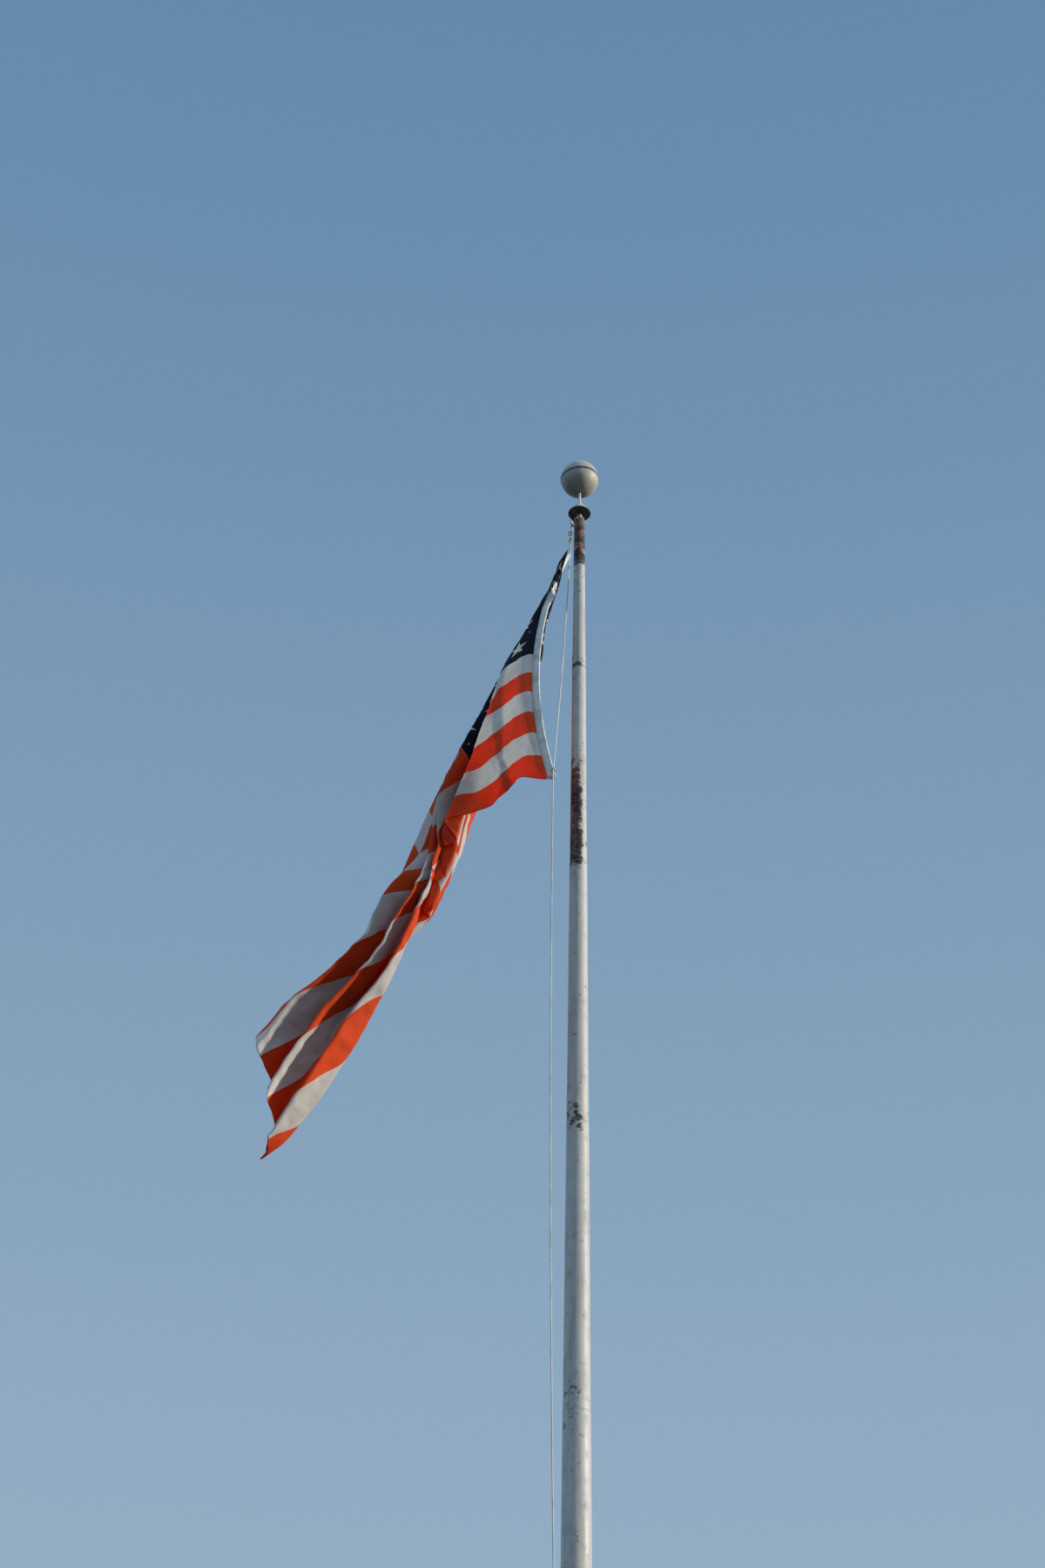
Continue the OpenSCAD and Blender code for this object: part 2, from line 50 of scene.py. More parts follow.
# CAMERA
# The photograph is taken from the ground 14.7 m in front of the pole and a
# little to its left, looking up at 37 degrees with a slight roll.
camera_place = Vector((-0.413, -14.676, 1.612))
camera_tilt, camera_roll = math.radians(126.82), math.radians(1.14)
viewer = bpy.data.cameras.new("viewer")
viewer.lens = 57.2
viewer.sensor_width = 36
viewer.clip_end = 200
camera = bpy.data.objects.new("viewer", viewer)
scene.collection.objects.link(camera)
camera.matrix_world = (Matrix.Translation(camera_place) @ Matrix.Rotation(camera_tilt, 4, "X")
                       @ Matrix.Rotation(camera_roll, 4, "Z"))
scene.camera = camera


# SUN AND SKY
# A low warm sun stands to the right and a pale blue world fills the shade. The
# sky behind the object is a backdrop colour, also where it shows through.
def add(tree, kind, inputs=(), **settings):
    """Adds a node, sets its properties and links or sets its inputs."""
    node = tree.nodes.new(kind)
    for key, value in settings.items():
        setattr(node, key, value)
    for key, value in dict(inputs).items():
        if isinstance(value, bpy.types.NodeSocket):
            tree.links.new(value, node.inputs[key])
        else:
            node.inputs[key].default_value = value
    return node


def maths(tree, operation, *terms, clamp=False):
    """Works out up to three terms, each a number or a socket."""
    node = add(tree, "ShaderNodeMath", enumerate(terms), operation=operation, use_clamp=clamp)
    return node.outputs[0]


def mix_colour(tree, share, low, high, blend="MIX"):
    """Goes from the low to the high colour, each a socket or three numbers."""
    colours = [colour if isinstance(colour, bpy.types.NodeSocket) else (*colour, 1)
               for colour in (low, high)]
    node = add(tree, "ShaderNodeMix", {0: share, 6: colours[0], 7: colours[1]},
               data_type="RGBA", blend_type=blend)
    return node.outputs[2]


def background(tree, height, low, high, low_colour, high_colour, strength):
    """A sky whose colour changes from one height of the view to another."""
    climb = add(tree, "ShaderNodeMapRange", {"Value": height, "From Min": low, "From Max": high})
    colour = mix_colour(tree, climb.outputs["Result"], low_colour, high_colour)
    return add(tree, "ShaderNodeBackground", {"Color": colour, "Strength": strength}).outputs[0]


def seen(tree, *ways):
    """One for the camera's own rays and for those of the ways given."""
    path = tree.nodes.new("ShaderNodeLightPath")
    share = path.outputs["Is Camera Ray"]
    for way in ways:
        share = maths(tree, "MAXIMUM", share, path.outputs[way])
    return share


sun_place, sun_target = Vector((20, -3, 17)), Vector((0, 0, 11.5))
sun_light = bpy.data.lights.new("low_sun", "SUN")
sun_light.energy = 4.5
sun_light.color = (1.0, 0.90, 0.77)
sun_light.angle = math.radians(4)
sun = bpy.data.objects.new("low_sun", sun_light)
scene.collection.objects.link(sun)
sun_turn = (sun_target - sun_place).to_track_quat("-Z", "Y")
sun.matrix_world = Matrix.Translation(sun_place) @ sun_turn.to_matrix().to_4x4()

world = bpy.data.worlds.new("sky")
scene.world = world
world.use_nodes = True
sky = world.node_tree
sky.nodes.clear()
sky_way = add(sky, "ShaderNodeSeparateXYZ", {0: sky.nodes.new("ShaderNodeTexCoord").outputs["Generated"]})
sky_height = sky_way.outputs["Z"]
sky_light = background(sky, sky_height, -0.15, 0.25, (0.03, 0.03, 0.028), (0.48, 0.72, 0.98), 0.95)
sky_backdrop = background(sky, sky_height, 0.33, 0.82, (0.292, 0.418, 0.546), (0.122, 0.246, 0.413), 1.0)
sky_mix = add(sky, "ShaderNodeMixShader",
              {0: seen(sky, "Is Transmission Ray"), 1: sky_light, 2: sky_backdrop})
add(sky, "ShaderNodeOutputWorld", {"Surface": sky_mix.outputs[0]})


# FLOOR
# A plain pale disc at ground level, which holds the pole's shadow. It throws
# only as much light back on the pole as dull ground does.
def new_object(name, bm, material=None, smooth=True):
    """Makes a finished object of a bmesh, with its place in its mesh."""
    for face in bm.faces:
        face.smooth = smooth
    mesh = bpy.data.meshes.new(name)
    bm.to_mesh(mesh)
    bm.free()
    thing = bpy.data.objects.new(name, mesh)
    scene.collection.objects.link(thing)
    if material:
        mesh.materials.append(material)
    return thing


def new_material(name, colour, roughness=0.5, metallic=0.0):
    """A material, its node tree and its Principled BSDF."""
    material = bpy.data.materials.new(name)
    material.use_nodes = True
    tree = material.node_tree
    skin = tree.nodes["Principled BSDF"]
    skin.inputs["Base Color"].default_value = (*colour, 1)
    skin.inputs["Roughness"].default_value = roughness
    skin.inputs["Metallic"].default_value = metallic
    return material, tree, skin


def show(tree, shader):
    """Puts a shader in place of the one that the material shows."""
    tree.links.new(shader, tree.nodes["Material Output"].inputs["Surface"])


floor_radius = 12
pale_ground, dull_ground = (0.62, 0.62, 0.60), (0.10, 0.10, 0.10)
floor_mat, floor_tree, floor_skin = new_material("pale_floor", pale_ground, 0.9)
floor_dull = add(floor_tree, "ShaderNodeBsdfDiffuse", {"Color": (*dull_ground, 1)})
floor_mix = add(floor_tree, "ShaderNodeMixShader", {
    0: seen(floor_tree, "Is Glossy Ray", "Is Transmission Ray"),
    1: floor_dull.outputs[0], 2: floor_skin.outputs[0]})
show(floor_tree, floor_mix.outputs[0])
floor_bm = bmesh.new()
bmesh.ops.create_circle(floor_bm, cap_ends=True, segments=64, radius=floor_radius)
floor = new_object("floor", floor_bm, floor_mat, smooth=False)


# WEATHERED FINISH
# White paint and bare metal that have greyed in the open. Clouds of dirt lie
# on them, rain has drawn streaks down, and specks have broken through. One
# group serves the pole, the truck, the ball and the fittings.
def soft_step(tree, value, low, high, low_out=0.0, high_out=1.0):
    """Goes smoothly from low_out to high_out while the value goes from low to high."""
    ends = {"Value": value, "From Min": low, "From Max": high, "To Min": low_out, "To Max": high_out}
    return add(tree, "ShaderNodeMapRange", ends, interpolation_type="SMOOTHSTEP").outputs["Result"]


def noise(tree, place, scale, detail, roughness=0.5, distortion=0.0):
    """Cloudy values round a half, about one cloud for each unit of place times scale."""
    form = {"Vector": place, "Scale": scale, "Detail": detail, "Roughness": roughness,
            "Distortion": distortion}
    return add(tree, "ShaderNodeTexNoise", form).outputs["Fac"]


def object_place(tree):
    """Places in metres, in the object's own frame."""
    return tree.nodes.new("ShaderNodeTexCoord").outputs["Object"]


def stretched(tree, place, scale):
    """Places scaled apart, so that a pattern on them is finer along each axis."""
    return add(tree, "ShaderNodeMapping", {"Vector": place, "Scale": scale}).outputs[0]


def new_group(name, inputs, outputs):
    """A node group with its named sockets, its inner inputs and its inner outputs."""
    group = bpy.data.node_groups.new(name, "ShaderNodeTree")
    for title, start in inputs.items():
        kind = "NodeSocketColor" if isinstance(start, tuple) else "NodeSocketFloat"
        group.interface.new_socket(title, in_out="INPUT", socket_type=kind).default_value = start
    for title, kind in outputs.items():
        group.interface.new_socket(title, in_out="OUTPUT", socket_type=kind)
    inner_inputs = group.nodes.new("NodeGroupInput").outputs
    inner_outputs = group.nodes.new("NodeGroupOutput").inputs
    return group, inner_inputs, inner_outputs


grime, grime_in, grime_out = new_group(
    "grime", {"Paint": (0.6, 0.6, 0.58, 1), "Dirt": 0.3, "Fineness": 1.0},
    {"Color": "NodeSocketColor", "Roughness": "NodeSocketFloat", "Height": "NodeSocketFloat"})
cloud_tone, streak_tone, speck_tone = (0.33, 0.33, 0.32), (0.22, 0.21, 0.19), (0.10, 0.085, 0.075)
clean_roughness, cloud_roughness = 0.48, 0.35
speck_relief = 0.6
fine_place = add(grime, "ShaderNodeVectorMath",
                 {0: object_place(grime), "Scale": grime_in["Fineness"]}, operation="SCALE").outputs[0]
clouds = noise(grime, fine_place, 9.0, 5.0, 0.65)
streaks = noise(grime, stretched(grime, fine_place, (30, 30, 1.3)), 1.0, 4.0, 0.6)
specks = noise(grime, fine_place, 85.0, 3.0, 0.7)
cloud_mask, streak_mask, speck_mask = (
    maths(grime, "MULTIPLY", soft_step(grime, pattern, low, high), grime_in["Dirt"])
    for pattern, low, high in ((clouds, 0.42, 0.75), (streaks, 0.48, 0.78), (specks, 0.62, 0.74)))
clouded = mix_colour(grime, cloud_mask, grime_in["Paint"], cloud_tone)
streaked = mix_colour(grime, streak_mask, clouded, streak_tone)
specked = mix_colour(grime, speck_mask, streaked, speck_tone)
grime.links.new(specked, grime_out["Color"])
grime.links.new(maths(grime, "MULTIPLY_ADD", cloud_mask, cloud_roughness, clean_roughness),
                grime_out["Roughness"])
grime.links.new(maths(grime, "ADD", maths(grime, "MULTIPLY", specks, speck_relief), clouds),
                grime_out["Height"])


def weathered(tree, paint, dirt, fineness=1.0):
    """Places the grime group in a material and gives its outputs."""
    values = {"Paint": (*paint, 1), "Dirt": dirt, "Fineness": fineness}
    return add(tree, "ShaderNodeGroup", values, node_tree=grime).outputs


# POLE AND BASE
# Eight rolled and welded steel courses, each let into the one below, on a
# bolted flange with a socket and gussets. Rust and black dirt gather at the
# seams, in bands that fade out up and down the pole.
def finish(tree, skin, colour, roughness, relief, strength, depth):
    """Feeds a colour, a roughness where there is one, and a relief to the surface."""
    tree.links.new(colour, skin.inputs["Base Color"])
    if roughness is not None:
        tree.links.new(roughness, skin.inputs["Roughness"])
    bump = add(tree, "ShaderNodeBump", {"Height": relief, "Strength": strength, "Distance": depth})
    tree.links.new(bump.outputs[0], skin.inputs["Normal"])


def dress(material, *nodes):
    """Gives CAD nodes a material in place of their plain one."""
    for name in nodes:
        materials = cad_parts[name].data.materials
        materials.clear()
        materials.append(material)


pole_paint, pink_side_tone = (0.41, 0.40, 0.37), (0.42, 0.30, 0.25)
dark_rust, bright_rust, black_dirt = (0.06, 0.019, 0.008), (0.16, 0.062, 0.030), (0.012, 0.011, 0.010)
# Each band has the height of its middle, how far it reaches, and its weight.
rust_bands = ((15.05, 0.5, 1.1), (14.6, 0.4, 0.12), (12.42, 0.7, 1.25), (11.95, 0.30, 0.9),
              (9.85, 0.35, 0.45), (13.75, 0.18, 0.35), (7.76, 0.3, 0.3), (2.0, 0.5, 0.2), (0.1, 0.5, 0.6))
black_bands = ((12.05, 0.26, 1.15), (12.42, 0.28, 1.15), (11.88, 0.06, 1.1), (14.81, 0.10, 1.15),
               (9.76, 0.20, 0.9), (13.72, 0.06, 0.7), (15.05, 0.55, 0.75), (7.75, 0.08, 0.35),
               (5.81, 0.08, 0.35), (3.86, 0.08, 0.3), (1.9, 0.08, 0.3), (0.2, 0.1, 0.5))
pink_side_band = (10.9, 2.2, 0.55)

pole_mat, pole_tree, pole_skin = new_material("pole_paint", (0.6, 0.6, 0.58), 0.55)
pole_maths, pole_step, pole_mix = (partial(tool, pole_tree) for tool in (maths, soft_step, mix_colour))
pole_coat = weathered(pole_tree, pole_paint, 0.85)
pole_place = object_place(pole_tree)
pole_axes = add(pole_tree, "ShaderNodeSeparateXYZ", {0: pole_place}).outputs
rust_noise = noise(pole_tree, pole_place, 16.0, 7.0, 0.68, 0.4)
ring_noise = noise(pole_tree, stretched(pole_tree, pole_place, (14, 14, 17)), 1.0, 6.0, 0.65)
fleck_noise = noise(pole_tree, pole_place, 60.0, 4.0, 0.6)


def band(middle, reach, weight):
    """A band of grime round the pole that fades out above and below."""
    away = pole_maths("ABSOLUTE", pole_maths("SUBTRACT", pole_axes["Z"], middle))
    return pole_maths("MULTIPLY", pole_step(away, 0.0, reach, 1.0, 0.0), weight)


def banded(bands, side, weight, pattern, low, high):
    """Where a pattern breaks through in the bands, on one side of the pole."""
    whole, *others = (band(*values) for values in bands)
    for other in others:
        whole = pole_maths("ADD", whole, other)
    share = pole_maths("MULTIPLY_ADD", pole_maths("MULTIPLY", whole, side), weight, pattern)
    return pole_step(share, low, high)


# Below the truck's rust the grime keeps off the sunny right side of the pole.
# The black dirt keeps a little off the far left as well.
low_down = pole_step(pole_axes["Z"], 14.0, 14.5, 1.0, 0.0)
rust_kept_off = pole_step(pole_axes["X"], -0.012, 0.03, 0.0, 0.75)
black_kept_off = pole_maths("ADD", pole_step(pole_axes["X"], 0.012, 0.042, 0.0, 0.8),
                            pole_step(pole_axes["X"], -0.035, -0.005, 0.3, 0.0))
rust_side, black_side = (pole_maths("SUBTRACT", 1.0, pole_maths("MULTIPLY", low_down, kept_off))
                         for kept_off in (rust_kept_off, black_kept_off))
rust_at = banded(rust_bands, rust_side, 0.25, rust_noise, 0.60, 0.72)
black_at = banded(black_bands, black_side, 0.24, ring_noise, 0.64, 0.70)
# A pinkish brown tint lies on the pole's left side between about 8.7 and 13.1 m, fading out towards the
# right.
pink_side_share = pole_maths("MULTIPLY", band(*pink_side_band), pole_step(pole_axes["X"], 0.05, -0.09))
rust_tone = pole_mix(pole_step(fleck_noise, 0.35, 0.65), dark_rust, bright_rust)
pink_sided = pole_mix(pink_side_share, pole_coat["Color"], pink_side_tone)
rusted = pole_mix(pole_maths("MULTIPLY", rust_at, 0.93), pink_sided, rust_tone)
blackened = pole_mix(pole_maths("MULTIPLY", black_at, 0.95), rusted, black_dirt)
pole_roughness = pole_maths("MULTIPLY_ADD", rust_at, 0.3, pole_coat["Roughness"], clamp=True)
pole_relief = pole_maths("ADD", pole_coat["Height"], pole_maths("MULTIPLY", rust_noise, 0.8))
finish(pole_tree, pole_skin, blackened, pole_roughness, pole_relief, 0.35, 0.002)
courses = 8
dress(pole_mat, *(f"pole_section_{course}" for course in range(1, courses + 1)), "pole_band")
dress(pole_mat, "base_flange", "base_socket", "base_gussets")


# SEAM WELDS
# Beads of weld run round the pole where two courses meet. The paint has gone
# from them, and they hold more dirt than the plates do.
weld_mat, weld_tree, weld_skin = new_material("weld_steel", (0.2, 0.18, 0.16), 0.75)
weld_coat = weathered(weld_tree, (0.30, 0.28, 0.26), 1.0, 2.0)
finish(weld_tree, weld_skin, weld_coat["Color"], weld_coat["Roughness"], weld_coat["Height"], 0.8, 0.003)
dress(weld_mat, "seam_welds")


# METAL FITTINGS
# The turned plug, hub, pins and rod are zinc plated steel. The cleats and the
# sheave with its cheeks are cast, and the two snaps on the halyard are bronze.
def metal(name, colour, roughness, dirt, metallic):
    """A worn metal, finely grimed all over."""
    material, tree, skin = new_material(name, colour, roughness, metallic)
    coat = weathered(tree, colour, dirt, 4.0)
    worn = maths(tree, "MULTIPLY_ADD", coat["Roughness"], 0.5, roughness - 0.2)
    finish(tree, skin, coat["Color"], worn, coat["Height"], 0.4, 0.0008)
    return material


zinc = metal("zinc_steel", (0.50, 0.50, 0.49), 0.42, 0.5, 0.85)
cast = metal("cast_metal", (0.52, 0.52, 0.51), 0.55, 0.45, 0.7)
bronze = metal("snap_bronze", (0.45, 0.33, 0.17), 0.4, 0.5, 0.9)
dress(zinc, "pole_top_plug", "truck_hub", "cleat_screws", "sheave_pin", "ball_lock_nut", "ball_rod")
dress(zinc, "heading_thimbles")
dress(cast, "front_cleat", "rear_cleat", "sheave_cheeks", "sheave")
dress(bronze, "top_snap", "bottom_snap")


# RAIN CAP
# A cast mushroom cap that turns with the truck and keeps rain off its bearing.
# It is bored from below for the spindle and painted pale on its cone. Underneath it is near black, which is
# painted shade.
cap_low, cap_height, cap_radius, cap_crown = 15.31, 0.1, 0.09, 0.024
cap_bore_radius, cap_bore_depth = 0.01258, 0.077
paint_low, paint_high = cap_low + 0.008, cap_low + 0.014
cap_mat, cap_tree, cap_skin = new_material("truck_paint", (0.1, 0.1, 0.11), 0.5)
# The underside's near-black colour is painted shade; its roughness and relief serve the whole cap.
cap_shade_coat = weathered(cap_tree, (0.018, 0.016, 0.015), 0.2, 3.0)
cap_paint = weathered(cap_tree, (0.46, 0.45, 0.42), 0.6, 2.0)
cap_axes = add(cap_tree, "ShaderNodeSeparateXYZ", {0: object_place(cap_tree)})
cap_painted = soft_step(cap_tree, cap_axes.outputs["Z"], paint_low, paint_high)
cap_colour = mix_colour(cap_tree, cap_painted, cap_shade_coat["Color"], cap_paint["Color"])
finish(cap_tree, cap_skin, cap_colour, cap_shade_coat["Roughness"], cap_shade_coat["Height"], 0.5, 0.002)

cap_outline = ((0, cap_height), (cap_crown, cap_height), (0.040, 0.079), (0.060, 0.053), (0.079, 0.026),
               (0.087, 0.014), (cap_radius, 0.009), (cap_radius, 0.003), (0.087, 0), (cap_bore_radius, 0),
               (cap_bore_radius, cap_bore_depth), (0, cap_bore_depth))
cap_bm = bmesh.new()
cap_points = [cap_bm.verts.new((out, 0, cap_low + up)) for out, up in cap_outline]
cap_edges = [cap_bm.edges.new(pair) for pair in zip(cap_points, cap_points[1:])]
bmesh.ops.spin(cap_bm, geom=cap_points + cap_edges, cent=(0, 0, 0), axis=(0, 0, 1), angle=math.tau,
               steps=64, use_merge=True, use_duplicate=False)
bmesh.ops.remove_doubles(cap_bm, verts=cap_bm.verts, dist=0.00002)
bmesh.ops.recalc_face_normals(cap_bm, faces=cap_bm.faces)
cap = new_object("truck_cap_casting", cap_bm, cap_mat)
for face in cap.data.polygons:
    face.use_smooth = face.center.z > cap_low + 0.002 and face.normal.z > 0
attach(cap, "truck")
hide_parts("truck_cap")


# BALL
# Two spun metal halves in pale paint. The upper half laps over the lower, and a thin dark line of painted
# shadow lies under its lip at the joint.
seam_height = 15.649  # along the line that leans with the ball, from the ground
ball_lean = math.radians(4)
ball_mat, ball_tree, ball_skin = new_material("ball_shell", (0.6, 0.58, 0.54), 0.4)
ball_coat = weathered(ball_tree, (0.35, 0.325, 0.28), 0.5, 2.0)
ball_place = add(ball_tree, "ShaderNodeMapping", {
    "Vector": object_place(ball_tree), "Location": (0, 0, -seam_height), "Rotation": (0, ball_lean, 0)})
ball_axes = add(ball_tree, "ShaderNodeSeparateXYZ", {0: ball_place.outputs[0]})
from_seam = maths(ball_tree, "ABSOLUTE", ball_axes.outputs["Z"])
# A thin near-black band round the joint is the painted shadow of the lip.
lip_shadow = soft_step(ball_tree, from_seam, 0.007, 0.012, 1.0, 0.0)
ball_colour = mix_colour(ball_tree, lip_shadow, ball_coat["Color"], (0.03, 0.028, 0.026))
finish(ball_tree, ball_skin, ball_colour, ball_coat["Roughness"], ball_coat["Height"], 0.3, 0.001)
dress(ball_mat, "ball_lower_half", "ball_upper_half")


# FLAG CLOTH
# One sheet of dyed bunting, 10 by 15 feet, sewn to its heading. It hangs by
# its two hoist corners in a narrow bundle of folds, which is made fold by fold
# and then settled as cloth.
hoist, fly = 3.048, 4.572
diagonal = math.hypot(hoist, fly)
top_corner = Vector((-0.074, 0.141, 15.09))
heading_mid = top_corner + diagonal * Vector((-0.05, -0.045, -0.242))
hem_corner = top_corner + diagonal * Vector((-0.028, -0.091, -0.494))
tip = top_corner + diagonal * Vector((-0.362, 0.166, -0.916))
hang = (tip - top_corner) / diagonal
across = (Vector((1, 0, 0)) - hang * hang.x / hang.length_squared).normalized()
front = hang.cross(across).normalized()

# On the flat sheet a point lies down metres along the diagonal from the top
# corner, and aside metres square to it. Each fold is a line on that sheet.
# These are the bundle's edges across, in metres, at some distances down.
right_edge = ((0, 0.02), (0.42, 0.11), (1.1, 0.20), (2.3, 0.21), (2.7, 0.25), (3.25, 0.29),
              (3.8, 0.23), (4.1, 0.21), (4.5, 0.18), (4.9, 0.12), (5.3, 0.02), (5.5, -0.09))
left_edge = ((0, 0), (0.66, -0.09), (1.3, -0.14), (1.9, -0.18), (2.5, -0.19), (3.1, -0.16), (3.8, -0.10))
tail_edge = ((2.7, 0.14), (3.3, -0.02), (3.8, -0.09), (4.15, -0.32), (4.4, -0.50), (4.8, -0.60),
             (5.0, -0.60), (5.3, -0.50), (5.5, -0.32))
hidden_edge = ((3.0, -0.15), (3.8, -0.07), (4.2, -0.22), (4.5, -0.42), (5.0, -0.44))
flap_edge = ((0.6, -0.05), (1.26, -0.02), (1.93, 0.02), (2.39, 0.05), (2.7, 0.08))
# The main folds' places aside on the flat sheet, at some distances down.
right_fold = ((0, -0.6), (1, -0.85), (3.5, -0.9), (4.4, -1.05), (5.5, -1.2))
left_fold = ((0, 0), (2.43, -0.35), (4.27, -0.82), (5.5, -1.0))
front_fold = ((0, 0), (2.5, 0), (3.3, -0.1), (4.2, -0.10), (4.9, 0.04), (5.4, 0.06))
# The tail's pleats: metres past the front fold, share of the width, to the front.
tail_pleats = ((0.16, 0.22, 0.20), (0.36, 0.30, -0.06), (0.56, 0.52, 0.20), (0.78, 0.60, -0.06),
               (1.0, 0.86, 0.20), (1.25, 1.0, 0.0), (1.6, 0.4, -0.07), (1.95, 0.9, -0.10), (2.6, 0.2, -0.13))
flap_front, right_front, tail_back = 0.08, 0.06, -0.12
hem_sag, corner_sag, tail_stretch, tail_swing = 0.37, 0.12, 0.17, 0.09


def between(x, knots):
    """Straight-line value at x through the knots, each a place and its value."""
    if x <= knots[0][0]:
        return knots[0][1]
    for (x_low, low), (x_high, high) in zip(knots, knots[1:]):
        if x <= x_high:
            return low + (high - low) * (x - x_low) / (x_high - x_low)
    return knots[-1][1]


def ease(x):
    """Goes smoothly from nothing to one while x does."""
    x = min(1.0, max(0.0, x))
    return x * x * (3 - 2 * x)


def heading_point(v):
    """A point on the curve of the heading, v of the way down it."""
    v = v - 0.14 * v * (1 - v)
    return top_corner * (2 * v - 1) * (v - 1) + heading_mid * 4 * v * (1 - v) + hem_corner * v * (2 * v - 1)


def pleats(start, end, count):
    """Zigzags between two folds that take up the cloth they don't span."""
    span = end[1] - start[1]
    slack = max(0.0, end[0] - start[0] - abs(span)) / (2 * count) * (1 if span >= 0 else -1)
    aside, out, made = start[0], start[1], []
    for k in range(2 * count):
        aside += abs(slack)
        out += slack if k % 2 == 0 else -slack
        made.append((aside, out, start[2] + (end[2] - start[2]) * (k + 1) / (2 * count + 1)))
    return made


def upper_folds(down, right, left, flap_at, right_at, left_at, front_at):
    """The folds beside the heading: the flap, what lies behind it, and the front."""
    opened = min(1.0, max(0.05, down / 2.4))
    width = right - left
    brink = between(down, flap_edge)
    flap, right_side = (flap_at, brink, flap_front), (right_at, right, right_front)
    behind, hidden = (right_at + 0.06, right - 0.02, -0.06 * opened - 0.01), (left_at, left, -0.30 * opened)
    made = [(flap_at - 1.2, brink + 1.1, 0.48), flap, *pleats(flap, right_side, 3), right_side,
            behind, *pleats(behind, hidden, 2), hidden,
            (left_at + 0.04 * opened, left + 0.005, -0.24 * opened),
            (front_at, left + 0.8 * width, 0.04 * opened)]
    for k in range(1, 10):
        share = 0.15 if k % 2 else 0.85
        made.append((front_at + 0.28 * k * opened, left + width * share, -0.009 * k * opened))
    return made


def tail_folds(down, right, flap_at, right_at, left_at, front_at):
    """The folds below the hem corner, where the cloth opens out to the left."""
    reach = right - between(down, hidden_edge)
    before = 0.06 * ease((4.2 - down) / 0.6)
    made = [(flap_at - 1.2, right - reach, tail_back - 0.04)]
    made += [(flap_at + 0.02 * k, right - reach, tail_back) for k in range(7)]
    made += [(right_at, right - 0.4 * reach, tail_back), (right_at + 0.06, right - 0.45 * reach, -0.11)]
    made += [(right_at + 0.06 + 0.01 * k, right - 0.5 * reach, -0.11) for k in range(1, 5)]
    made += [(left_at, right - 0.95 * reach, -0.09), (left_at + 0.04, right - 0.95 * reach, -0.08)]
    made.append((front_at, right, 0))
    tail_width = right - between(down, tail_edge)
    made += [(front_at + past, right - tail_width * share, ahead + before)
             for past, share, ahead in tail_pleats]
    return made


def folds(down):
    """Folds across the bundle: place on the flat sheet, across, to the front."""
    right, left = between(down, right_edge), between(down, left_edge)
    right_at, left_at, front_at = (between(down, fold) for fold in (right_fold, left_fold, front_fold))
    flap_at = min(-0.6 - 0.62 * down, right_at - 0.12)
    upper = upper_folds(down, right, left, flap_at, right_at, left_at, front_at)
    tail = tail_folds(down, right, flap_at, right_at, left_at, front_at)
    fold_turn, pleat_turn = ease((down - 3.2) / 0.9), ease((down - 2.3) / 1.2)
    first_pleat = len(tail) - len(tail_pleats)
    turned = []
    for k, (high, low) in enumerate(zip(upper, tail)):
        turn = fold_turn if k < first_pleat else pleat_turn
        turned.append(tuple(a + (b - a) * turn for a, b in zip(high, low)))
    return turned


def cloth_point(u, v):
    """Where a point of the flat sheet hangs, u along the fly and v down the hoist."""
    x, y = u * fly, v * hoist
    down, aside = (x * fly + y * hoist) / diagonal, (x * hoist - y * fly) / diagonal
    knots = folds(down)
    out = between(aside, [(place, out) for place, out, near in knots])
    near = between(aside, [(place, near) for place, out, near in knots])
    near += tail_swing * ease((down - 4.3) / 1.1)
    sag = corner_sag * ease((-aside - 0.9) / 0.5)
    if aside < 0:
        sag += hem_sag * min(1, (aside / 2.2) ** 2) * max(0, 1 - max(0, down - 1.69) / 2)
    drop = down + sag + tail_stretch * ease((down - 3.7) / 1.7)
    free = top_corner + hang * drop + across * out + front * near
    lead = (1 - v) * hang.normalized() + 1.5 * v * (hang * 0.25 - across).normalized()
    lead = (lead + max(0, 1 - 2.5 * v) * (0.7 * front + 0.4 * across)).normalized()
    return (heading_point(v) + lead * x).lerp(free, ease(x / 0.6))


flag_bm = bmesh.new()
flag_uv = flag_bm.loops.layers.uv.new("cloth")
bmesh.ops.create_grid(flag_bm, x_segments=120, y_segments=80, size=0.5)
flag_at = {vert: (vert.co.x + 0.5, 0.5 - vert.co.y) for vert in flag_bm.verts}
flag_places = list(flag_at.values())
for face in flag_bm.faces:
    for loop in face.loops:
        u, v = flag_at[loop.vert]
        loop[flag_uv].uv = (u, 1 - v)
for vert, (u, v) in flag_at.items():
    vert.co = cloth_point(u, v)
inner = [vert for vert, (u, v) in flag_at.items() if u > 0.001]
bmesh.ops.smooth_vert(flag_bm, verts=inner, factor=0.3, use_axis_x=True, use_axis_y=True, use_axis_z=True)
flag = new_object("flag_cloth", flag_bm)

settle_frames = 10
flag.shape_key_add(name="hung")
flat_key = flag.shape_key_add(name="flat")
for point, (u, v) in zip(flat_key.data, flag_places):
    point.co = (u * fly, 0, -v * hoist)
flat_key.value = 0
held = flag.vertex_groups.new(name="held")
held.add([i for i, (u, v) in enumerate(flag_places) if u < 0.001], 1.0, "REPLACE")
cloth = flag.modifiers.new("settling", "CLOTH")
for setting, value in (("quality", 6), ("mass", 0.004), ("tension_stiffness", 30),
                       ("compression_stiffness", 30), ("shear_stiffness", 10),
                       ("bending_stiffness", 0.4), ("tension_damping", 8), ("compression_damping", 8),
                       ("shear_damping", 8), ("bending_damping", 1), ("air_damping", 4.0),
                       ("time_scale", 0.5), ("vertex_group_mass", "held"), ("rest_shape_key", flat_key)):
    setattr(cloth.settings, setting, value)
cloth.collision_settings.use_self_collision = True
